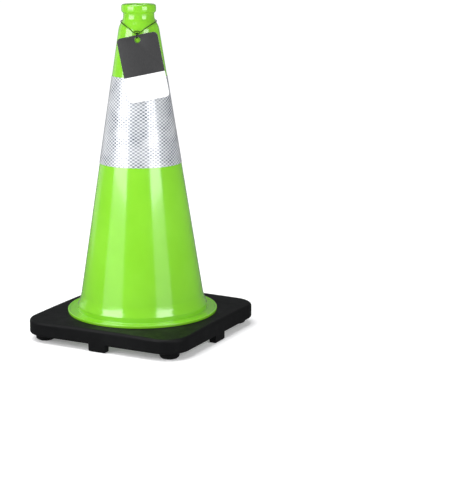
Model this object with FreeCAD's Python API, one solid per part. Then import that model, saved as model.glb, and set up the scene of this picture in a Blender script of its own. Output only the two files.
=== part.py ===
import FreeCAD, Part
import math
import os

from FreeCAD import Vector

# Traffic cone, 18 inch class, millimetres.
# Origin: centre of the square base, on the plane of its feet. +Z up, base sides along X and Y.

# --- cone -----------------------------------------------------------------------------------
overall_height = 457.2
wall = 3.0
neck_radius = 21.0
neck_wall = 4.0
neck_length = 9.8
lip_overhang = 2.5              # the lip stands out past the neck
lip_height = 9.8
lip_chamfer = 2.0
shoulder_width = 6.0            # the cone below the shoulder is this much wider than the neck
shoulder_length = 10.1
foot_line_radius = 94.55        # radius the straight wall would have at the height of the feet
flare_top = 56.0
flare_middle = 49.0
step_height = 42.0              # bottom of the flare
upper_flare = 0.28              # gain of radius for each unit of drop
lower_flare = 0.46
lip_round = 3.2                 # roundings of the profile, from the mouth down
mouth_round = 1.6
lip_underside_round = 3.0
lip_foot_round = 1.5
neck_round = 12.0
shoulder_round = 22.0
inner_shoulder_round = 18.0
flare_top_round = 40.0
flare_middle_round = 40.0
inner_flare_round = 20.0
inner_step_round = 1.5
step_round = 1.4

# --- flange under the cone, and its spigot through the base ---------------------------------
flange_width = 14.12            # past the flare
flange_thickness = 3.0
bead_width = 2.4
bead_rise = 1.0
bead_round = 0.8
bead_foot_round = 1.2
flange_fillet = 1.2
flange_edge_round = 0.8
spigot_step = 0.22              # the spigot is this much wider than the flare
spigot_clearance = 0.3

# --- base -----------------------------------------------------------------------------------
base_margin = 18.5              # from the flange to the middle of each side
base_corner_radius = 34.0
foot_height = 10.0
seat_height = 31.6              # top of the base where the flange rests
corner_drop = 1.6               # the top falls this much from the seat to the corners
seat_margin = 2.0               # the flat seat runs this far past the flange
skirt_wall = 6.0
top_wall = 4.2
edge_round = 4.0
skirt_edge_round = 2.5
crown_round = 60.0

# --- underside of the base ------------------------------------------------------------------
ring_margin = 6.6               # the ring runs this far past the flange
ring_thickness = 3.5
ring_bottom = 16.5
ring_clearance = 0.3
rim_wall = 3.0
rim_bottom = 15.0
rib_thickness = 3.5
rib_bottom = 14.0
rib_offsets = (45.0, 73.0)      # ribs square to each side, from the middle of the side
brace_half_length = 9.0
brace_inset = 15.75             # crossing of the braces, in from the side
corner_foot_radius = 13.5
corner_foot_inset = 8.0
corner_foot_round = 4.5
slot_width = 13.0
slot_wall = 4.0
middle_foot_length = 26.0
middle_foot_wall = 3.5
middle_foot_gap = 1.5           # between the foot and the rim's inside
pocket_gap = 0.2                # between the foot's hollow and the rim
pocket_roof = 4.5               # the feet are hollow up to this far below the top
middle_foot_round = 2.5

# --- locking pegs ---------------------------------------------------------------------------
peg_count = 21
peg_inset = 6.4                 # peg's axis, in from the flange's edge
peg_shank_radius = 4.0
peg_head_radius = 4.9
peg_bore_radius = 2.7
peg_head_height = 2.4
peg_clearance = 0.1
peg_head_round = 0.8
peg_bore_round = 0.5

# --- reflective collar ----------------------------------------------------------------------
collar_below_top = 96.4
collar_width = 119.0
collar_thickness = 0.5
collar_lap = 14.0

# --- hang tag, its link and its string ------------------------------------------------------
tag_azimuth = 25.5              # direction the tag faces, turned from -Y towards +X
tag_width = 55.5
tag_length = 88.0
tag_thickness = 0.8
tag_corner_radius = 5.5
tag_tilt = 11.5                 # the card hangs turned in its own plane
tag_hole_radius = 4.0
tag_hole_inset = 6.5            # hole centre below the top edge
tag_standoff = 2.4              # middle of the card above the cone
pivot_below_top = 42.8          # where the card hangs on its link
string_radius = 0.55
string_gap = 0.15
link_length = 5.2               # from the card's hole to the knot
knot_half_width = 4.0
knot_half_height = 1.75

# Route of the string round the neck, seen with the tag in front: across, towards the back, up.
# It starts and ends beside the knot.
string_route = (
    (5.2, -30.4, 421.6),
    (9.8, -27.2, 425.3),
    (15.6, -22.7, 429.2),
    (20.3, -15.9, 431.9),
    (23.4, -8.4, 433.5),
    (24.3, 0.4, 434.5),
    (22.2, 8.4, 435.4),
    (17.7, 15.1, 436.2),
    (11.3, 20.0, 436.7),
    (3.9, 22.7, 437.0),
    (-4.1, 22.6, 436.9),
    (-11.6, 19.8, 436.9),
    (-17.9, 14.9, 436.2),
    (-22.5, 8.0, 435.4),
    (-24.4, -0.3, 434.5),
    (-23.4, -9.0, 433.4),
    (-20.1, -16.5, 431.7),
    (-15.1, -23.2, 428.9),
    (-9.4, -27.5, 424.9),
    (-5.0, -30.6, 420.7),
)
bend_share = 0.45               # share of the shorter run that each bend takes up

# --- working allowances ---------------------------------------------------------------------
bite = 1.0                      # how far blocks run into each other before they are joined
slack = 0.1                     # when edges are picked by where they lie
same_point = 1e-6

# --- worked out -----------------------------------------------------------------------------
lip_bottom = overall_height - lip_height
neck_bottom = lip_bottom - neck_length
shoulder_height = neck_bottom - shoulder_length
shoulder_radius = neck_radius + shoulder_width
taper = (foot_line_radius - shoulder_radius) / shoulder_height
flange_top = seat_height + flange_thickness
base_edge_height = seat_height - corner_drop
pocket_top = base_edge_height - pocket_roof
collar_top = overall_height - collar_below_top
collar_bottom = collar_top - collar_width
pivot_height = overall_height - pivot_below_top


def cone_radius(height):
    return foot_line_radius - taper * height


flare_middle_radius = cone_radius(flare_top) + upper_flare * (flare_top - flare_middle)
step_radius = flare_middle_radius + lower_flare * (flare_middle - step_height)
spigot_radius = step_radius + spigot_step
opening_radius = spigot_radius + spigot_clearance
flange_radius = step_radius + flange_width
peg_circle_radius = flange_radius - peg_inset
seat_radius = flange_radius + seat_margin
ring_outer_radius = flange_radius + ring_margin
rim_inner = ring_outer_radius + ring_clearance
rim_outer = rim_inner + rim_wall
ring_top = ring_bottom + ring_thickness
base_half = flange_radius + base_margin
corner_reach = base_half * math.sqrt(2) - base_corner_radius * (math.sqrt(2) - 1)
foot_distance = corner_reach - corner_foot_inset - corner_foot_radius
clear_height = seat_height + 5.0                # above everything that is cut
foot_block_top = seat_height - top_wall / 2     # the feet run up into the base's top wall

up = Vector(0, 0, 1)
origin = Vector(0, 0, 0)
quarter_turns = (0, 90, 180, 270)
diagonals = (45, 135, 225, 315)


def rounded_wire(points, radii, closed):
    # Straight runs joined by tangent arcs; a radius of 0 leaves its corner sharp.
    count = len(points)
    starts = []
    ends = []
    middles = []
    for i in range(count):
        here = points[i]
        before = points[i - 1]
        after = points[(i + 1) % count]
        is_end = not closed and i in (0, count - 1)
        if radii[i] == 0 or is_end:
            starts.append(here)
            ends.append(here)
            middles.append(None)
            continue
        back = (before - here).normalize()
        on = (after - here).normalize()
        half = back.getAngle(on) / 2
        setback = radii[i] / math.tan(half)
        bisector = (back + on).normalize()
        starts.append(here + back * setback)
        ends.append(here + on * setback)
        middles.append(here + bisector * (radii[i] / math.sin(half) - radii[i]))
    edges = []
    for i in range(count):
        if middles[i] is not None:
            edges.append(Part.Arc(starts[i], middles[i], ends[i]).toShape())
        last = not closed and i == count - 1
        following = starts[(i + 1) % count]
        if not last and ends[i].distanceToPoint(following) > same_point:
            edges.append(Part.LineSegment(ends[i], following).toShape())
    return Part.Wire(edges)


def turned(profile):
    # Solid of revolution from (radius, height, rounding) corners.
    points = [Vector(radius, 0, height) for radius, height, rounding in profile]
    radii = [rounding for radius, height, rounding in profile]
    face = Part.Face(rounded_wire(points, radii, True))
    return face.revolve(origin, up, 360)


def tube(outer_radius, inner_radius, bottom, top):
    outside = Part.makeCylinder(outer_radius, top - bottom, Vector(0, 0, bottom))
    inside = Part.makeCylinder(inner_radius, top - bottom + 2 * bite, Vector(0, 0, bottom - bite))
    return outside.cut(inside)


def box(x_range, y_range, z_range):
    size = [high - low for low, high in (x_range, y_range, z_range)]
    return Part.makeBox(*size, Vector(x_range[0], y_range[0], z_range[0]))


def rounded_square(side, corner_radius, bottom, top):
    half = side / 2
    block = box((-half, half), (-half, half), (bottom, top))
    corners = [e for e in block.Edges if abs(e.Vertexes[0].Z - e.Vertexes[-1].Z) > bite]
    return block.makeFillet(corner_radius, corners)


def around(shape, angles):
    copies = []
    for angle in angles:
        copy = shape.copy()
        copy.rotate(origin, up, angle)
        copies.append(copy)
    return copies


def joined(shapes):
    return shapes[0].multiFuse(shapes[1:]).removeSplitter()


def make_cone():
    inward = wall * math.hypot(1, taper)
    spigot_bore = spigot_radius - wall
    bead_top = flange_top + bead_rise
    bead_inner = flange_radius - bead_width
    lip_radius = neck_radius + lip_overhang
    bore_radius = neck_radius - neck_wall
    return turned((
        (spigot_bore, ring_bottom, flange_edge_round),
        (spigot_radius, ring_bottom, flange_edge_round),
        (spigot_radius, seat_height, 0),
        (flange_radius, seat_height, flange_edge_round),
        (flange_radius, bead_top, bead_round),
        (bead_inner, bead_top, bead_round),
        (bead_inner - bead_rise, flange_top, bead_foot_round),
        (step_radius, flange_top, flange_fillet),
        (step_radius, step_height, step_round),
        (flare_middle_radius, flare_middle, flare_middle_round),
        (cone_radius(flare_top), flare_top, flare_top_round),
        (shoulder_radius, shoulder_height, shoulder_round),
        (neck_radius, neck_bottom, neck_round),
        (neck_radius, lip_bottom - lip_chamfer, lip_foot_round),
        (lip_radius, lip_bottom, lip_underside_round),
        (lip_radius, overall_height, lip_round),
        (bore_radius, overall_height, mouth_round),
        (bore_radius, neck_bottom, neck_round),
        (shoulder_radius - inward, shoulder_height, inner_shoulder_round),
        (cone_radius(flare_top) - inward, flare_top, flare_top_round),
        (flare_middle_radius - inward, flare_middle, inner_flare_round),
        (spigot_bore, step_height - wall, inner_step_round),
    ))


def crown(drop):
    # The base's top: flat under the flange, then falling straight to the corners.
    fall = corner_drop / (corner_reach - seat_radius)
    far = corner_reach + base_margin
    return turned((
        (0, foot_height - drop, 0),
        (far, foot_height - drop, 0),
        (far, seat_height - fall * (far - seat_radius) - drop, 0),
        (seat_radius, seat_height - drop, crown_round),
        (0, seat_height - drop, 0),
    ))


def outline_edges(shape, low, high):
    # Long edges of a block's outline that lie between two heights.
    edges = []
    for edge in shape.Edges:
        middle = edge.valueAt((edge.FirstParameter + edge.LastParameter) / 2)
        rise = max(v.Z for v in edge.Vertexes) - min(v.Z for v in edge.Vertexes)
        lies_level = rise < foot_height / 2
        if low < middle.z < high and lies_level and edge.Length > base_corner_radius / 2:
            edges.append(edge)
    return edges


def base_shell():
    block = rounded_square(2 * base_half, base_corner_radius, foot_height, clear_height)
    shell = block.common(crown(0))
    seat = Part.makeCylinder(seat_radius - bite, bite, Vector(0, 0, seat_height))
    middle_height = (foot_height + base_edge_height) / 2
    top = [e for e in outline_edges(shell, middle_height, clear_height)
           if e.distToShape(seat)[0] > edge_round]
    shell = shell.makeFillet(edge_round, top)
    skirt = outline_edges(shell, foot_height - slack, foot_height + slack)
    return shell.makeFillet(skirt_edge_round, skirt)


def middle_foot_block():
    length = middle_foot_length / 2
    inner = rim_inner + middle_foot_gap
    foot = box((-length, length), (-base_half, -inner), (0, foot_block_top))
    bottom = [e for e in foot.Edges if max(v.Z for v in e.Vertexes) < slack]
    bottom = [e for e in bottom if min(v.Y for v in e.Vertexes) < slack - base_half]
    return foot.makeFillet(middle_foot_round, bottom)


def corner_foot_block():
    foot = Part.makeCylinder(corner_foot_radius, foot_block_top, Vector(foot_distance, 0, 0))
    bottom = [e for e in foot.Edges if max(v.Z for v in e.Vertexes) < slack and e.Closed]
    return foot.makeFillet(corner_foot_round, bottom)


def slot_block(width, inner, bottom, top):
    # Round-ended run along the diagonal, out to the middle of a corner foot.
    run = box((inner, foot_distance), (-width / 2, width / 2), (bottom, top))
    end = Part.makeCylinder(width / 2, top - bottom, Vector(foot_distance, 0, bottom))
    return run.fuse(end)


def make_ribs():
    ribs = []
    for offset in rib_offsets:
        for middle in (-offset, offset):
            edges = (middle - rib_thickness / 2, middle + rib_thickness / 2)
            rib = box(edges, (bite - base_half, 0), (rib_bottom, clear_height))
            ribs.append(rib.cut(Part.makeCylinder(rim_inner + bite, clear_height)))
    return ribs


def make_braces():
    # Slanting webs that tie the two ribs of each pair.
    braces = []
    place = sum(rib_offsets) / len(rib_offsets)
    for side in (-1, 1):
        brace = box((-brace_half_length, brace_half_length),
                    (-rib_thickness / 2, rib_thickness / 2), (rib_bottom, clear_height))
        brace.rotate(origin, up, -side * 45)
        brace.translate(Vector(side * place, brace_inset - base_half, 0))
        braces.append(brace)
    return braces


def make_base():
    corner_feet = around(corner_foot_block(), diagonals)
    middle_feet = around(middle_foot_block(), quarter_turns)

    # Everything that stays solid inside the hollow of the base.
    kept = [Part.makeCylinder(rim_inner + slack, clear_height, Vector(0, 0, ring_top)),
            tube(rim_outer, rim_inner, rim_bottom, clear_height)]
    for web in make_ribs() + make_braces():
        kept += around(web, quarter_turns)
    walls = slot_block(slot_width + 2 * slot_wall, rim_inner + bite, rib_bottom, clear_height)
    kept += around(walls, diagonals)
    kept += corner_feet + middle_feet

    hollow = rounded_square(2 * (base_half - skirt_wall), base_corner_radius - skirt_wall,
                            foot_height - skirt_edge_round, clear_height)
    hollow = hollow.common(crown(top_wall))
    base = base_shell().cut(hollow.cut(kept))

    feet_space = box((-base_half, base_half), (-base_half, base_half), (0, pocket_top))
    base = joined([base] + [foot.common(feet_space) for foot in corner_feet + middle_feet])

    below = Vector(0, 0, -bite)
    cuts = [Part.makeCylinder(opening_radius, clear_height + 2 * bite, below)]
    cuts.append(Part.makeCylinder(rim_inner, ring_top + bite, below))
    cuts += around(slot_block(slot_width, rim_outer, below.z, pocket_top), diagonals)
    pocket_half = middle_foot_length / 2 - middle_foot_wall
    pocket = box((-pocket_half, pocket_half), (middle_foot_wall - base_half, -rim_outer - pocket_gap),
                 (below.z, pocket_top))
    cuts += around(pocket, quarter_turns)
    cuts += peg_holes()
    return base.cut(cuts).removeSplitter()


def peg_angles():
    return [360.0 * i / peg_count for i in range(peg_count)]


def peg_holes():
    hole = Part.makeCylinder(peg_shank_radius + peg_clearance, clear_height,
                             Vector(peg_circle_radius, 0, 0))
    return around(hole, peg_angles())


def make_ring():
    ring = tube(ring_outer_radius, opening_radius, ring_bottom, ring_top)
    return ring.cut(peg_holes())


def make_pegs():
    head_bottom = ring_bottom - peg_head_height
    profile = (
        (peg_bore_radius, head_bottom, peg_bore_round),
        (peg_head_radius, head_bottom, peg_head_round),
        (peg_head_radius, ring_bottom, 0),
        (peg_shank_radius, ring_bottom, 0),
        (peg_shank_radius, seat_height, 0),
        (peg_bore_radius, seat_height, 0),
    )
    peg = turned(profile)
    peg.translate(Vector(peg_circle_radius, 0, 0))
    return Part.makeCompound(around(peg, peg_angles()))


def make_collar():
    def layer(inner_offset, outer_offset, sweep):
        bottom_radius = cone_radius(collar_bottom)
        top_radius = cone_radius(collar_top)
        corners = [
            Vector(bottom_radius + inner_offset, 0, collar_bottom),
            Vector(bottom_radius + outer_offset, 0, collar_bottom),
            Vector(top_radius + outer_offset, 0, collar_top),
            Vector(top_radius + inner_offset, 0, collar_top),
        ]
        return Part.Face(Part.makePolygon(corners + corners[:1])).revolve(origin, up, sweep)

    sheet = layer(0, collar_thickness, 360)
    lap_angle = math.degrees(collar_lap / cone_radius(collar_bottom))
    lap = layer(collar_thickness / 2, 2 * collar_thickness, lap_angle)
    lap.rotate(origin, up, tag_azimuth + 90 - lap_angle / 2)
    return sheet.fuse(lap)


def tag_frame(shape):
    # Moves a shape drawn flat (x across, y out, z up the cone) onto the cone below the neck.
    lean = math.degrees(math.atan(taper))
    shape.rotate(origin, Vector(1, 0, 0), -lean)
    reach = cone_radius(pivot_height) + tag_standoff * math.hypot(1, taper)
    shape.translate(Vector(0, -reach, pivot_height))
    shape.rotate(origin, up, tag_azimuth)
    return shape


def tag_hole_clear():
    # From the top of the hole down to the point the card turns about.
    return string_radius + 2 * string_gap


def make_tag():
    half_width = tag_width / 2
    pivot_to_hole = tag_hole_radius - tag_hole_clear()
    top = tag_hole_inset - pivot_to_hole
    card = box((-half_width, half_width), (-tag_thickness / 2, tag_thickness / 2),
               (top - tag_length, top))
    corners = [e for e in card.Edges if abs(e.Vertexes[0].Y - e.Vertexes[-1].Y) > tag_thickness / 2]
    card = card.makeFillet(tag_corner_radius, corners)
    hole = Part.makeCylinder(tag_hole_radius, 2 * tag_thickness,
                             Vector(0, -tag_thickness, -pivot_to_hole), Vector(0, 1, 0))
    card = card.cut(hole)
    card.rotate(origin, Vector(0, 1, 0), -tag_tilt)
    return tag_frame(card)


def make_link():
    # A closed loop of string through the card's hole and under the knot's loop.
    spread = 2 * string_radius + string_gap
    low = Vector(0, 0, spread - tag_hole_clear())
    high = Vector(0, 0, link_length)
    across = Vector(0, spread, 0)
    turn_low = Part.Arc(low - across, low - Vector(0, 0, spread), low + across).toShape()
    back = Part.LineSegment(low + across, high + across).toShape()
    turn_high = Part.Arc(high + across, high + Vector(0, 0, spread), high - across).toShape()
    front = Part.LineSegment(high - across, low - across).toShape()
    path = Part.Wire([turn_low, back, turn_high, front])
    section = Part.Wire(Part.makeCircle(string_radius, low - across, up))
    return tag_frame(path.makePipeShell([section], True, False))


def make_knot():
    # The string's own small loop, lying over the card's top edge.
    centre = Vector(0, 0, link_length + knot_half_height)
    ellipse = Part.Ellipse(centre + Vector(knot_half_width, 0, 0),
                           centre + Vector(0, 0, knot_half_height), centre)
    path = Part.Wire(ellipse.toShape())
    start = centre + Vector(knot_half_width, 0, 0)
    section = Part.Wire(Part.makeCircle(string_radius, start, up))
    return tag_frame(path.makePipeShell([section], True, False))


def make_string():
    points = [Vector(*point) for point in string_route]
    runs = [points[i].distanceToPoint(points[i + 1]) for i in range(len(points) - 1)]
    radii = [0]
    for i in range(1, len(points) - 1):
        turn = (points[i] - points[i - 1]).getAngle(points[i + 1] - points[i])
        radii.append(bend_share * min(runs[i - 1], runs[i]) / math.tan(turn / 2))
    radii.append(0)
    print("string bends", [round(radius, 1) for radius in radii[1:-1]])
    path = rounded_wire(points, radii, False)
    section = Part.Wire(Part.makeCircle(string_radius, points[0], points[1] - points[0]))
    string = path.makePipeShell([section], True, False)
    expected = math.pi * string_radius ** 2 * path.Length
    print("string length", round(path.Length, 1), "volume ratio", round(string.Volume / expected, 4))
    string.rotate(origin, up, tag_azimuth)
    return string


def main():
    os.makedirs("parts", exist_ok=True)
    nodes = {
        "cone_body": make_cone(),
        "base": make_base(),
        "retaining_ring": make_ring(),
        "locking_pegs": make_pegs(),
        "reflective_collar": make_collar(),
        "tag_string": make_string(),
        "string_knot": make_knot(),
        "tag_link": make_link(),
        "hang_tag": make_tag(),
    }
    for name, shape in nodes.items():
        print(name, "valid", shape.isValid(), "solids", len(shape.Solids), "volume", round(shape.Volume))
        shape.exportStep("parts/" + name + ".step")


main()
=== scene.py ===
import math

import bmesh
import bpy
from mathutils import Matrix, Vector


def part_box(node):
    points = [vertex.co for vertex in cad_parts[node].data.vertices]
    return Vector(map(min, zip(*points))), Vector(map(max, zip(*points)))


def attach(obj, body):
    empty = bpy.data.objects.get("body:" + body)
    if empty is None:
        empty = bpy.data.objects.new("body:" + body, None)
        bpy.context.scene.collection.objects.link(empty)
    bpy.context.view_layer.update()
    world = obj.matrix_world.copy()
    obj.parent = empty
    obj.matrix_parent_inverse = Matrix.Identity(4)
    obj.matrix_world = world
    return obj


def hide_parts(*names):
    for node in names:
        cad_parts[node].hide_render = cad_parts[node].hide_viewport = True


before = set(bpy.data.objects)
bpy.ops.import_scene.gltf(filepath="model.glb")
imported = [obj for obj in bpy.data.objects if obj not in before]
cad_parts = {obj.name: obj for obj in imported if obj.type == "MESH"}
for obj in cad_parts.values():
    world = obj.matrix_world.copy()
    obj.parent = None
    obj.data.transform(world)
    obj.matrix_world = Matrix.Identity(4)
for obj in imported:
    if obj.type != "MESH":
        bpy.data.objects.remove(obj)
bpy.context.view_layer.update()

fullTurn = 2 * math.pi
sameSpot = 1e-6     # vertices closer than this are one
nearSpot = 1e-5     # a corner is found within this
cornerSteps = 4     # in each rounded corner of a turned outline


def deselectAll():
    if bpy.context.object and bpy.context.object.mode != "OBJECT":
        bpy.ops.object.mode_set(mode="OBJECT")
    bpy.ops.object.select_all(action="DESELECT")


def pick(piece):
    deselectAll()
    piece.select_set(True)
    bpy.context.view_layer.objects.active = piece


def startEditing(name):
    # the primitive just added is named and opened
    piece = bpy.context.object
    piece.name = name
    piece.data.name = name
    bpy.ops.object.mode_set(mode="EDIT")
    bpy.ops.mesh.select_mode(type="VERT")
    return piece


def stopEditing():
    bpy.ops.object.mode_set(mode="OBJECT")


def selectVertices(piece, test):
    bpy.ops.mesh.select_all(action="DESELECT")
    mesh = bmesh.from_edit_mesh(piece.data)
    for vertex in mesh.verts:
        if test(vertex.co):
            vertex.select_set(True)
    bmesh.update_edit_mesh(piece.data)


def closeUp():
    # doubles merged, faces turned outwards
    bpy.ops.mesh.select_all(action="SELECT")
    bpy.ops.mesh.remove_doubles(threshold=sameSpot)
    bpy.ops.mesh.normals_make_consistent(inside=False)


def smoothShading(piece, degrees=35):
    pick(piece)
    bpy.ops.object.shade_smooth_by_angle(angle=math.radians(degrees))


def applyModifier(piece, kind, **settings):
    pick(piece)
    modifier = piece.modifiers.new(kind.title(), kind)
    for name, value in settings.items():
        setattr(modifier, name, value)
    bpy.ops.object.modifier_apply(modifier=modifier.name)


def drawOutline(name, corners, closed):
    # one vertex, extruded from corner to corner in the XZ plane
    bpy.ops.mesh.primitive_plane_add(size=0.01)
    piece = startEditing(name)
    bpy.ops.mesh.merge(type="CENTER")
    bpy.ops.transform.translate(value=(corners[0][0], 0, corners[0][1]))
    stops = corners[1:] + corners[:1] if closed else corners[1:]
    for before, after in zip(corners, stops):
        step = (after[0] - before[0], 0, after[1] - before[1])
        bpy.ops.mesh.extrude_region_move(TRANSFORM_OT_translate={"value": step})
    bpy.ops.mesh.select_all(action="SELECT")
    bpy.ops.mesh.remove_doubles(threshold=sameSpot)
    return piece


def turnPiece(name, corners, segments):
    # a closed outline of (radius, height, cut) corners, each corner rounded by its cut, then spun
    piece = drawOutline(name, [corner[:2] for corner in corners], True)
    for cut in sorted({corner[2] for corner in corners if corner[2]}):
        spots = [Vector((corner[0], 0, corner[1])) for corner in corners if corner[2] == cut]
        selectVertices(piece, lambda co: any((co - spot).length < nearSpot for spot in spots))
        bpy.ops.mesh.bevel(offset=cut, segments=cornerSteps, affect="VERTICES")
    bpy.ops.mesh.select_all(action="SELECT")
    bpy.ops.mesh.spin(steps=segments, angle=fullTurn, center=(0, 0, 0), axis=(0, 0, 1))
    closeUp()
    stopEditing()
    return piece


def usePlace(piece, body, node, material):
    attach(piece, body)
    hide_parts(node)
    piece.data.materials.clear()
    piece.data.materials.append(material)


camera = {
    "distance": 2.0,        # from the cone's axis, metres
    "height": 0.5687,
    "azimuth": 30.5,        # degrees from -Y towards +X
    "dip": 12.76,           # degrees below level
    "pan": 3.478,           # degrees the axis lies left of the middle
    "lens": 105.19,
    "sensor": 36.0,
}


def placeCamera():
    azimuth = math.radians(camera["azimuth"])
    place = Vector((math.sin(azimuth), -math.cos(azimuth), 0)) * camera["distance"]
    place.z = camera["height"]
    turn = (math.radians(90 - camera["dip"]), 0, azimuth - math.radians(camera["pan"]))
    deselectAll()
    bpy.ops.object.camera_add(location=place, rotation=turn)
    lens = bpy.context.object.data
    lens.lens = camera["lens"]
    lens.sensor_width = camera["sensor"]
    bpy.context.scene.camera = bpy.context.object


placeCamera()
print("camera placed")


def addNode(tree, kind, values=None, **settings):
    # values are sockets to link or numbers to set, by input name or number
    node = tree.nodes.new(kind)
    for name, value in settings.items():
        setattr(node, name, value)
    for name, value in (values or {}).items():
        if isinstance(value, bpy.types.NodeSocket):
            tree.links.new(value, node.inputs[name])
        else:
            node.inputs[name].default_value = value
    return node


def startMaterial(name, fixed):
    material = bpy.data.materials.new(name)
    material.use_nodes = True
    tree = material.node_tree
    shader = tree.nodes["Principled BSDF"]
    for name, value in fixed.items():
        shader.inputs[name].default_value = value
    return material, tree, shader


def objectCoordinates(tree, stretch=(1, 1, 1)):
    source = addNode(tree, "ShaderNodeTexCoord").outputs["Object"]
    return addNode(tree, "ShaderNodeMapping", {"Vector": source, "Scale": stretch}).outputs[0]


def noise(tree, coordinates, scale, detail=3.0, roughness=0.5):
    values = {"Vector": coordinates, "Scale": scale, "Detail": detail, "Roughness": roughness}
    return addNode(tree, "ShaderNodeTexNoise", values).outputs["Fac"]


def spread(tree, source, low, high, fromLow=0.3, fromHigh=0.7):
    values = {"Value": source, 1: fromLow, 2: fromHigh, 3: low, 4: high}
    return addNode(tree, "ShaderNodeMapRange", values).outputs[0]


def blendColours(tree, share, first, second):
    # an RGBA mix; first and second are colours or sockets
    values = {0: share, 6: first, 7: second}
    return addNode(tree, "ShaderNodeMix", values, data_type="RGBA").outputs[2]


def bump(tree, height, distance, below=None):
    values = {"Height": height, "Distance": distance, "Strength": 1.0}
    if below:
        values["Normal"] = below
    return addNode(tree, "ShaderNodeBump", values).outputs[0]


def mathNode(tree, operation, first, second):
    return addNode(tree, "ShaderNodeMath", {0: first, 1: second}, operation=operation).outputs[0]


def feed(tree, shader, **sources):
    names = {"colour": "Base Color", "roughness": "Roughness", "normal": "Normal"}
    for name, source in sources.items():
        tree.links.new(source, shader.inputs[names[name]])


def limeVinyl():
    material, tree, shader = startMaterial("limeVinyl", {
        "Specular IOR Level": 0.55,
        "Subsurface Weight": 0.12,
        "Subsurface Radius": (0.4, 1.0, 0.15),
        "Subsurface Scale": 0.002,
        "Coat Weight": 0.5,
        "Coat Roughness": 0.07,
    })
    plain = objectCoordinates(tree)
    tall = objectCoordinates(tree, (1, 1, 0.2))
    cloud = noise(tree, plain, 14)
    colour = blendColours(tree, spread(tree, cloud, 0, 1),
                          (0.190, 0.53, 0.014, 1), (0.218, 0.585, 0.023, 1))
    waves = bump(tree, noise(tree, tall, 26, 1.0), 0.0006)
    grain = bump(tree, noise(tree, plain, 1500, 2.0), 0.000012, waves)
    rough = spread(tree, noise(tree, plain, 60, 5.0, 0.6), 0.13, 0.21)
    feed(tree, shader, colour=colour, roughness=rough, normal=grain)
    return material


def blackRubber():
    material, tree, shader = startMaterial("blackRubber", {"Specular IOR Level": 0.12})
    plain = objectCoordinates(tree)
    cloud = spread(tree, noise(tree, plain, 22, 4.0), 0, 1)
    colour = blendColours(tree, cloud, (0.0030, 0.0032, 0.0035, 1), (0.0054, 0.0056, 0.0060, 1))
    dusty = spread(tree, noise(tree, plain, 160, 6.0, 0.7), 0, 0.35, 0.62, 0.85)
    colour = blendColours(tree, dusty, colour, (0.022, 0.022, 0.022, 1))
    rough = spread(tree, noise(tree, plain, 45, 5.0, 0.6), 0.42, 0.6)
    leather = bump(tree, noise(tree, plain, 420, 3.0), 0.00012)
    grain = bump(tree, noise(tree, plain, 1900, 2.0), 0.00005, leather)
    feed(tree, shader, colour=colour, roughness=rough, normal=grain)
    return material


def smoothBlack():
    # the retaining ring: smoother than the base, with fine turning marks round it
    material, tree, shader = startMaterial("smoothBlack", {"Specular IOR Level": 0.5})
    plain = objectCoordinates(tree)
    rings = addNode(tree, "ShaderNodeTexWave", {"Vector": plain, "Scale": 260.0, "Distortion": 0.4},
                    wave_type="RINGS", rings_direction="Z").outputs["Fac"]
    colour = blendColours(tree, spread(tree, noise(tree, plain, 40), 0, 1),
                          (0.010, 0.010, 0.011, 1), (0.017, 0.017, 0.018, 1))
    rough = spread(tree, noise(tree, plain, 90, 4.0), 0.28, 0.4)
    feed(tree, shader, colour=colour, roughness=rough, normal=bump(tree, rings, 0.00003))
    return material


def sineBand(tree, across, along, degrees, spacing):
    # -1 to 1 in straight bands, turned by degrees
    angle = math.radians(degrees)
    first = mathNode(tree, "MULTIPLY", across, math.cos(angle) * fullTurn / spacing)
    second = mathNode(tree, "MULTIPLY", along, math.sin(angle) * fullTurn / spacing)
    return mathNode(tree, "SINE", mathNode(tree, "ADD", first, second), 0.0)


def prismSheeting(spacing, lean):
    # clear film over rows of tiny prisms; the sheet's own flat coordinates are in metres
    material, tree, shader = startMaterial("prismSheeting", {
        "Metallic": 0.25,
        "Specular IOR Level": 0.6,
        "Coat Weight": 1.0,
        "Coat Roughness": 0.12,
    })
    flat = addNode(tree, "ShaderNodeUVMap", uv_map="sheet").outputs[0]
    axes = addNode(tree, "ShaderNodeSeparateXYZ", {0: flat})
    across, along = axes.outputs["X"], axes.outputs["Y"]
    bands = [sineBand(tree, across, along, degrees, spacing) for degrees in (lean, -lean)]
    lattice = mathNode(tree, "ADD", bands[0], bands[1])
    dots = spread(tree, lattice, 0, 1, -0.45, 0.65)
    patches = spread(tree, noise(tree, flat, 45, 3.0), 0.45, 1.0)
    strength = mathNode(tree, "MULTIPLY", dots, patches)
    silver = blendColours(tree, spread(tree, noise(tree, flat, 30), 0, 1),
                          (0.65, 0.67, 0.70, 1), (0.75, 0.765, 0.79, 1))
    colour = blendColours(tree, strength, silver, (0.035, 0.055, 0.095, 1))
    facets = bump(tree, lattice, 0.00004)
    rough = spread(tree, strength, 0.45, 0.25, 0, 1)
    feed(tree, shader, colour=colour, roughness=rough, normal=facets)
    return material


def printedCard(name, low, high):
    # stiff laminated card: faint fibre, a little gloss
    material, tree, shader = startMaterial(name, {"Specular IOR Level": 0.25, "Coat Weight": 0.05,
                                                  "Coat Roughness": 0.3})
    plain = objectCoordinates(tree)
    fibre = noise(tree, objectCoordinates(tree, (1, 1, 0.35)), 900, 4.0, 0.6)
    colour = blendColours(tree, spread(tree, fibre, 0, 1), low, high)
    rough = spread(tree, noise(tree, plain, 120, 3.0), 0.42, 0.55)
    feed(tree, shader, colour=colour, roughness=rough, normal=bump(tree, fibre, 0.00002))
    return material


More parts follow.
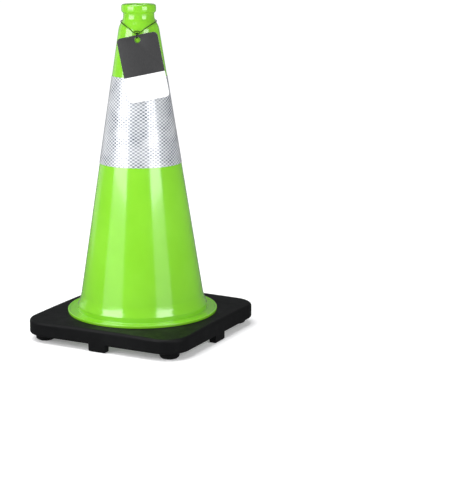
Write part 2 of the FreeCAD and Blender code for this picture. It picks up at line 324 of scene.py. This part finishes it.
def waxedString():
    material, tree, shader = startMaterial("waxedString", {"Specular IOR Level": 0.2})
    plain = objectCoordinates(tree)
    fuzz = noise(tree, plain, 2600, 4.0, 0.65)
    colour = blendColours(tree, spread(tree, fuzz, 0, 1),
                          (0.003, 0.003, 0.003, 1), (0.010, 0.010, 0.010, 1))
    rough = spread(tree, fuzz, 0.45, 0.7)
    feed(tree, shader, colour=colour, roughness=rough, normal=bump(tree, fuzz, 0.00006))
    return material


# everything on the string is drawn upright, then hung
hanging = {
    "facing": 25.5,         # degrees the tag is turned from -Y towards +X
    "pivotBelowTop": 0.0428,
    "standoff": 0.0024,     # middle of the card above the cone
    "tilt": 11.5,           # degrees the card hangs turned in its own plane
}

cone = {
    "segments": 160,
    "wall": 0.003,
    "footLineRadius": 0.09455,      # the straight wall's radius, run down to the floor
    "flareTop": 0.056,
    "flareMiddle": 0.049,
    "stepHeight": 0.042,
    "upperFlare": 0.28,             # gain of radius for each unit of drop
    "lowerFlare": 0.46,
    "shoulderRadius": 0.027,
    "shoulderLength": 0.0101,
    "neckRadius": 0.021,
    "neckWall": 0.004,
    "neckLength": 0.0098,
    "lipOverhang": 0.0025,
    "lipHeight": 0.0098,
    "lipChamfer": 0.0020,
    "seatHeight": 0.0316,
    "flangeThickness": 0.003,
    "beadWidth": 0.0024,
    "beadRise": 0.001,
    "spigotStep": 0.00022,
    "spigotCut": 0.0008,            # how far back each corner's rounding starts
    "flangeCut": 0.0007,
    "beadCut": 0.0009,
    "beadFootCut": 0.0006,
    "flangeTopCut": 0.0010,
    "stepCut": 0.0005,
    "flareMiddleCut": 0.0028,
    "flareTopCut": 0.0014,
    "shoulderCut": 0.0042,
    "neckCut": 0.0033,
    "lipFootCut": 0.0007,
    "lipBottomCut": 0.00145,
    "lipTopCut": 0.0032,
    "mouthCut": 0.0016,
    "innerNeckCut": 0.0037,
    "innerShoulderCut": 0.0041,
    "innerFlareTopCut": 0.0030,
    "innerFlareMiddleCut": 0.0016,
    "innerStepCut": 0.0015,
}
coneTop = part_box("cone_body")[1][2]
neckBottom = coneTop - cone["lipHeight"] - cone["neckLength"]
shoulderHeight = neckBottom - cone["shoulderLength"]
taper = (cone["footLineRadius"] - cone["shoulderRadius"]) / shoulderHeight


def coneRadius(height):
    return cone["footLineRadius"] - taper * height


def hang(piece, tilt=0.0):
    # from upright round the pivot to its place in front of the cone, the object itself unmoved
    pivot = coneTop - hanging["pivotBelowTop"]
    reach = coneRadius(pivot) + hanging["standoff"] * math.hypot(1, taper)
    place = Matrix.Rotation(math.radians(hanging["facing"]), 4, "Z")
    place = place @ Matrix.Translation((0, -reach, pivot))
    place = place @ Matrix.Rotation(-math.atan(taper), 4, "X")
    place = place @ Matrix.Rotation(math.radians(-tilt), 4, "Y")
    piece.data.transform(place)
    piece.data.update()


def settle(piece):
    # the object's own place and turn go into its mesh
    pick(piece)
    bpy.ops.object.transform_apply(location=True, rotation=True, scale=True)


string = {
    "diameter": 0.0011,
    "length": 0.1542,
    "plies": 3,
    "groove": 0.13,         # depth between plies, share of the radius
    "profilePoints": 18,
    "twist": 15.0,          # radians for each point of the route
    "smoothness": 30,
    "route": [              # seen with the tag in front: across, towards the back, up
        (0.0052, -0.0304, 0.4216), (0.0098, -0.0272, 0.4253), (0.0156, -0.0227, 0.4292),
        (0.0203, -0.0159, 0.4319), (0.0234, -0.0084, 0.4335), (0.0243, 0.0004, 0.4345),
        (0.0222, 0.0084, 0.4354), (0.0177, 0.0151, 0.4362), (0.0113, 0.0200, 0.4367),
        (0.0039, 0.0227, 0.4370), (-0.0041, 0.0226, 0.4369), (-0.0116, 0.0198, 0.4369),
        (-0.0179, 0.0149, 0.4362), (-0.0225, 0.0080, 0.4354), (-0.0244, -0.0003, 0.4345),
        (-0.0234, -0.0090, 0.4334), (-0.0201, -0.0165, 0.4317), (-0.0151, -0.0232, 0.4289),
        (-0.0094, -0.0275, 0.4249), (-0.0050, -0.0306, 0.4207),
    ],
    "linkLength": 0.0052,   # from the pivot to the knot
    "linkSpread": 0.00125,
    "linkLow": 0.0004,
    "knotWidth": 0.0040,    # half the knot's loop, across and up
    "knotHeight": 0.00175,
    "wrapRadius": 0.00088,
    "wrapString": 0.0007,
    "wrapTurns": 1,
    "wrapPitch": 0.00072,
    "wrapStart": 0.00085,   # from the middle of the knot
    "wrapSteps": 12,        # points in each turn
    "wrapSmoothness": 3,
    "wrapRoundness": 2,
    "knotSegments": 48,
    "linkSegments": 32,
    "sides": 12,            # of the string, in the knot and the link
    "smoothAngle": 60,
}


def pliedProfile():
    # the string's section: three rounded plies
    bpy.ops.curve.primitive_nurbs_circle_add()
    profile = bpy.context.object
    line = profile.data
    line.splines.clear()
    spline = line.splines.new("POLY")
    count = string["profilePoints"]
    spline.points.add(count - 1)
    for i, point in enumerate(spline.points):
        angle = fullTurn * i / count
        share = 1 - string["groove"] * (1 - math.cos(string["plies"] * angle)) / 2
        reach = share * string["diameter"] / 2
        point.co = (reach * math.cos(angle), reach * math.sin(angle), 0, 1)
    spline.use_cyclic_u = True
    return profile


def makeNeckString(material):
    deselectAll()
    bpy.ops.curve.primitive_nurbs_path_add()
    piece = bpy.context.object
    piece.name = "neckString"
    line = piece.data
    line.splines.clear()
    spline = line.splines.new("NURBS")
    spline.points.add(len(string["route"]) - 1)
    turn = Matrix.Rotation(math.radians(hanging["facing"]), 3, "Z")
    for i, (point, place) in enumerate(zip(spline.points, string["route"])):
        point.co = (*(turn @ Vector(place)), 1)
        point.tilt = i * string["twist"]
    spline.order_u = 3
    spline.use_endpoint_u = True
    line.resolution_u = string["smoothness"]
    middle = [tuple(vertex.co) for vertex in bpy.data.meshes.new_from_object(piece).vertices]
    deselectAll()
    profile = pliedProfile()
    line.bevel_mode = "OBJECT"
    line.bevel_object = profile
    line.use_fill_caps = True
    pick(piece)
    bpy.ops.object.convert(target="MESH")
    bpy.data.objects.remove(profile)
    smoothShading(piece, string["smoothAngle"])
    usePlace(piece, "neck_loop", "tag_string", material)
    return piece, middle


def makeKnot(material):
    # a small loop of string, bound on each side of the link
    deselectAll()
    bpy.ops.mesh.primitive_torus_add(major_radius=string["knotWidth"],
                                     minor_radius=string["diameter"] / 2,
                                     major_segments=string["knotSegments"],
                                     minor_segments=string["sides"])
    piece = startEditing("stringKnot")
    mesh = bmesh.from_edit_mesh(piece.data)
    for vertex in mesh.verts:       # the round loop is flattened, its string stays round
        flat = Vector((vertex.co.x, vertex.co.y, 0)).normalized() * string["knotWidth"]
        drop = 1 - string["knotHeight"] / string["knotWidth"]
        vertex.co.y -= flat.y * drop
    bmesh.update_edit_mesh(piece.data)
    stopEditing()
    centre = string["linkLength"] + string["knotHeight"]
    piece.data.transform(Matrix.Translation((0, 0, centre)) @ Matrix.Rotation(math.pi / 2, 4, "X"))
    wraps = [makeWrap(side) for side in (-1, 1)]
    pick(piece)
    for wrap in wraps:
        wrap.select_set(True)
    bpy.ops.object.join()
    hang(piece)
    smoothShading(piece, string["smoothAngle"])
    usePlace(piece, "neck_loop", "string_knot", material)
    return piece


def makeWrap(side):
    # turns of string round the bottom of the knot's loop
    deselectAll()
    bpy.ops.curve.primitive_nurbs_path_add()
    piece = bpy.context.object
    line = piece.data
    line.splines.clear()
    spline = line.splines.new("NURBS")
    perTurn = string["wrapSteps"]
    steps = perTurn * string["wrapTurns"]
    spline.points.add(steps)
    for i, point in enumerate(spline.points):
        angle = fullTurn * i / perTurn
        along = string["wrapStart"] + string["wrapPitch"] * i / perTurn
        lift = string["linkLength"] + along ** 2 * string["knotHeight"] / (2 * string["knotWidth"] ** 2)
        point.co = (side * along, string["wrapRadius"] * math.cos(angle),
                    lift + string["wrapRadius"] * math.sin(angle), 1)
    spline.order_u = 3
    spline.use_endpoint_u = True
    line.bevel_depth = string["wrapString"] / 2
    line.bevel_resolution = string["wrapRoundness"]
    line.resolution_u = string["wrapSmoothness"]
    line.use_fill_caps = True
    pick(piece)
    bpy.ops.object.convert(target="MESH")
    return bpy.context.object


def makeLink(material):
    # a closed loop, drawn as a ring and pulled long
    deselectAll()
    bpy.ops.mesh.primitive_torus_add(major_radius=string["linkSpread"],
                                     minor_radius=string["diameter"] / 2,
                                     major_segments=string["linkSegments"],
                                     minor_segments=string["sides"],
                                     location=(0, 0, string["linkLow"]), rotation=(0, math.pi / 2, 0))
    piece = bpy.context.object
    settle(piece)
    startEditing("tagLink")
    middle = string["linkLow"] + sameSpot
    selectVertices(piece, lambda co: co.z > middle)
    bpy.ops.transform.translate(value=(0, 0, string["linkLength"] - string["linkLow"]))
    stopEditing()
    hang(piece)
    smoothShading(piece, string["smoothAngle"])
    usePlace(piece, "link", "tag_link", material)
    return piece


card = {
    "width": 0.0555,
    "length": 0.088,
    "thickness": 0.0006,
    "cornerCut": 0.0055,
    "cornerSteps": 8,
    "holeRadius": 0.0040,
    "holeBelowPivot": 0.00315,
    "topAbovePivot": 0.00335,
    "inkLength": 0.0537,    # the dark part, down from the top edge
    "edgeWear": 0.00008,
    "wearSteps": 2,
    "wearAngle": 50,
    "holeSides": 48,
    "punchDepth": 0.01,
    "facingShare": 0.8,     # faces that look this much to the front or back take the ink
    "smoothAngle": 40,
    "paper": ((0.74, 0.74, 0.745, 1), (0.82, 0.82, 0.82, 1)),
    "ink": ((0.030, 0.030, 0.031, 1), (0.038, 0.038, 0.039, 1)),
}


def makeCard(paper, ink):
    half = card["width"] / 2
    top = card["topAbovePivot"]
    bottom = top - card["length"]
    deselectAll()
    corners = [(-half, bottom), (half, bottom), (half, top), (-half, top)]
    piece = drawOutline("hangTag", corners, True)
    bpy.ops.mesh.select_all(action="SELECT")
    bpy.ops.mesh.edge_face_add()
    bpy.ops.mesh.bevel(offset=card["cornerCut"], segments=card["cornerSteps"], affect="VERTICES")
    stopEditing()
    applyModifier(piece, "SOLIDIFY", thickness=card["thickness"], offset=0.0)
    deselectAll()
    bpy.ops.mesh.primitive_cylinder_add(vertices=card["holeSides"], radius=card["holeRadius"],
                                        depth=card["punchDepth"],
                                        location=(0, 0, -card["holeBelowPivot"]),
                                        rotation=(math.pi / 2, 0, 0))
    punch = bpy.context.object
    applyModifier(piece, "BOOLEAN", object=punch, operation="DIFFERENCE", solver="EXACT")
    bpy.data.objects.remove(punch)
    pick(piece)
    startEditing("hangTag")
    bpy.ops.mesh.select_all(action="SELECT")
    bpy.ops.mesh.bisect(plane_co=(0, 0, top - card["inkLength"]), plane_no=(0, 0, 1))
    stopEditing()
    applyModifier(piece, "BEVEL", width=card["edgeWear"], segments=card["wearSteps"],
                  limit_method="ANGLE", angle_limit=math.radians(card["wearAngle"]))
    usePlace(piece, "tag", "hang_tag", paper)
    piece.data.materials.append(ink)
    for face in piece.data.polygons:
        level = abs(face.normal.y) > card["facingShare"]
        printed = level and face.center.z > top - card["inkLength"]
        face.material_index = 1 if printed else 0
    hang(piece, hanging["tilt"])
    smoothShading(piece, card["smoothAngle"])


stringFinish = waxedString()
neckString, stringMiddle = makeNeckString(stringFinish)
stringKnot = makeKnot(stringFinish)
tagLink = makeLink(stringFinish)
makeCard(printedCard("cardPaper", *card["paper"]), printedCard("cardInk", *card["ink"]))
print("string and tag hung")


def makeCone(material):
    low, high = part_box("cone_body")
    bottom, seat, wall = low[2], cone["seatHeight"], cone["wall"]
    plate = seat + cone["flangeThickness"]
    beadTop = plate + cone["beadRise"]
    lipBottom = coneTop - cone["lipHeight"]
    inward = wall * math.hypot(1, taper)
    wallFoot = coneRadius(cone["flareTop"])
    flareMiddle = wallFoot + cone["upperFlare"] * (cone["flareTop"] - cone["flareMiddle"])
    step = flareMiddle + cone["lowerFlare"] * (cone["flareMiddle"] - cone["stepHeight"])
    spigot = step + cone["spigotStep"]
    flange = high[0]
    beadInner = flange - cone["beadWidth"]
    neck, shoulder = cone["neckRadius"], cone["shoulderRadius"]
    lip = neck + cone["lipOverhang"]
    neckBore = neck - cone["neckWall"]
    deselectAll()
    piece = turnPiece("coneBody", [
        (spigot - wall, bottom, cone["spigotCut"]),
        (spigot, bottom, cone["spigotCut"]),
        (spigot, seat, 0),
        (flange, seat, cone["flangeCut"]),
        (flange, beadTop, cone["beadCut"]),
        (beadInner, beadTop, cone["beadCut"]),
        (beadInner - cone["beadRise"], plate, cone["beadFootCut"]),
        (step, plate, cone["flangeTopCut"]),
        (step, cone["stepHeight"], cone["stepCut"]),
        (flareMiddle, cone["flareMiddle"], cone["flareMiddleCut"]),
        (wallFoot, cone["flareTop"], cone["flareTopCut"]),
        (shoulder, shoulderHeight, cone["shoulderCut"]),
        (neck, neckBottom, cone["neckCut"]),
        (neck, lipBottom - cone["lipChamfer"], cone["lipFootCut"]),
        (lip, lipBottom, cone["lipBottomCut"]),
        (lip, coneTop, cone["lipTopCut"]),
        (neckBore, coneTop, cone["mouthCut"]),
        (neckBore, neckBottom, cone["innerNeckCut"]),
        (shoulder - inward, shoulderHeight, cone["innerShoulderCut"]),
        (wallFoot - inward, cone["flareTop"], cone["innerFlareTopCut"]),
        (flareMiddle - inward, cone["flareMiddle"], cone["innerFlareMiddleCut"]),
        (spigot - wall, cone["stepHeight"] - wall, cone["innerStepCut"]),
    ], cone["segments"])
    smoothShading(piece)
    usePlace(piece, "cone", "cone_body", material)
    return piece


vinyl = limeVinyl()
coneBody = makeCone(vinyl)
print("cone turned:", len(coneBody.data.polygons), "faces")


collar = {
    "bottom": 0.2418,
    "top": 0.3608,
    "thickness": 0.00042,
    "gap": 0.00004,         # under the sheet
    "lap": 0.014,           # of the sheet's end over its start, along its bottom edge
    "seamFacing": hanging["facing"] + 90,
    "segments": 160,
    "rowCuts": 9,           # level cuts across the sheet
    "lapSegments": 8,
    "prismSpacing": 0.0038,     # between rows of prisms
    "prismLean": 55.7,          # degrees the rows lean from level
}


def layFlat(piece, seam):
    # the sheet's own map: the cone's wall unrolled, in metres
    layer = piece.data.uv_layers.new(name="sheet")
    slope = math.sin(math.atan(taper))
    tip = cone["footLineRadius"] / taper
    for loop in piece.data.loops:
        co = piece.data.vertices[loop.vertex_index].co
        around = (math.atan2(co.y, co.x) - seam) % fullTurn
        reach = math.hypot(co.x, co.y, tip - co.z)
        angle = (around - math.pi) * slope
        layer.data[loop.index].uv = (reach * math.sin(angle), tip - reach * math.cos(angle))


def makeCollar(material):
    seam = math.radians(collar["seamFacing"])
    lift = collar["gap"]
    corners = [(coneRadius(collar["bottom"]) + lift, collar["bottom"]),
               (coneRadius(collar["top"]) + lift, collar["top"])]
    deselectAll()
    piece = drawOutline("reflectiveCollar", corners, False)
    bpy.ops.mesh.subdivide(number_cuts=collar["rowCuts"])
    bpy.ops.mesh.select_all(action="SELECT")
    axis = {"center": (0, 0, 0), "axis": (0, 0, 1)}
    bpy.ops.mesh.spin(steps=collar["segments"], angle=fullTurn, **axis)
    # the end of the sheet steps up over its start and laps it
    middle = (0, 0, (collar["bottom"] + collar["top"]) / 2)
    radius = coneRadius(middle[2])
    rise = 1 + (collar["thickness"] + collar["gap"]) / radius
    lapAngle = collar["lap"] / coneRadius(collar["bottom"])
    bpy.ops.mesh.extrude_region_move()
    bpy.ops.transform.resize(value=(rise, rise, 1), center_override=middle)
    bpy.ops.mesh.spin(steps=collar["lapSegments"], angle=lapAngle, **axis)
    bpy.ops.mesh.select_all(action="SELECT")
    bpy.ops.mesh.normals_make_consistent(inside=False)
    stopEditing()
    piece.data.transform(Matrix.Rotation(seam, 4, "Z"))
    applyModifier(piece, "SOLIDIFY", thickness=collar["thickness"], offset=1.0)
    layFlat(piece, seam)
    smoothShading(piece)
    usePlace(piece, "cone", "reflective_collar", material)
    return piece


collarSheet = makeCollar(prismSheeting(collar["prismSpacing"], collar["prismLean"]))
print("collar wrapped:", len(collarSheet.data.polygons), "faces")


# the base, ring and pegs keep their own shapes
ownShapes = {"base": blackRubber(), "retaining_ring": smoothBlack(), "locking_pegs": vinyl}
for node, finish in ownShapes.items():
    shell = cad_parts[node]
    for place in shell.material_slots:
        place.material = finish
print("base, ring and pegs finished")


studio = {
    "floorRadius": 30.0,
    "floorSides": 96,
    "floorDrop": 0.0002,    # below the feet
    "floorColour": (0.94, 0.94, 0.943, 1),
    "floorGlow": 0.22,
    "worldColour": (0.20, 0.203, 0.208, 1),
    "sunStrength": 2.3,
    "sunAngle": 50.0,
    "sunTilt": (12, -8),
    "boxes": [              # azimuth and spread in degrees, bottom, top, distance in metres, brightness
        (-26.0, 40, 0.36, 0.95, 1.2, 6.0),
        (-26.0, 40, -0.02, 0.36, 1.2, 1.2),
        (70.5, 30, 0.36, 0.95, 1.2, 6.0),
        (70.5, 30, -0.02, 0.36, 1.2, 1.2),
        (-105.0, 30, 0.0, 1.20, 1.4, 0.35),
    ],
}


def addSoftBox(azimuth, angle, bottom, top, distance, brightness):
    facing = math.radians(azimuth)
    place = (distance * math.sin(facing), -distance * math.cos(facing), (bottom + top) / 2)
    deselectAll()
    bpy.ops.object.light_add(type="AREA", location=place, rotation=(math.pi / 2, 0, facing))
    light = bpy.context.object.data
    light.shape = "RECTANGLE"
    light.size = 2 * distance * math.tan(math.radians(angle / 2))
    light.size_y = top - bottom
    light.energy = brightness * math.pi * light.size * light.size_y


def lightStudio():
    deselectAll()
    bpy.ops.mesh.primitive_circle_add(vertices=studio["floorSides"], radius=studio["floorRadius"],
                                      fill_type="NGON", location=(0, 0, -studio["floorDrop"]))
    floor = bpy.context.object
    floor.name = "floor"
    floor.visible_glossy = False    # gloss mirrors the studio's dim walls, not the floor
    material, tree, shader = startMaterial("floorPaint", {
        "Base Color": studio["floorColour"],
        "Roughness": 0.9,
        "Specular IOR Level": 0.1,
        "Emission Color": studio["floorColour"],
        "Emission Strength": studio["floorGlow"],
    })
    floor.data.materials.append(material)
    for box in studio["boxes"]:
        addSoftBox(*box)
    tilt = [math.radians(degrees) for degrees in studio["sunTilt"]]
    bpy.ops.object.light_add(type="SUN", rotation=(*tilt, 0))
    sun = bpy.context.object.data
    sun.energy = studio["sunStrength"]
    sun.angle = math.radians(studio["sunAngle"])
    world = bpy.data.worlds.new("studio")
    world.use_nodes = True
    world.node_tree.nodes["Background"].inputs[0].default_value = studio["worldColour"]
    bpy.context.scene.world = world
    bpy.context.scene.view_settings.view_transform = "Standard"


lightStudio()
print("studio lit")
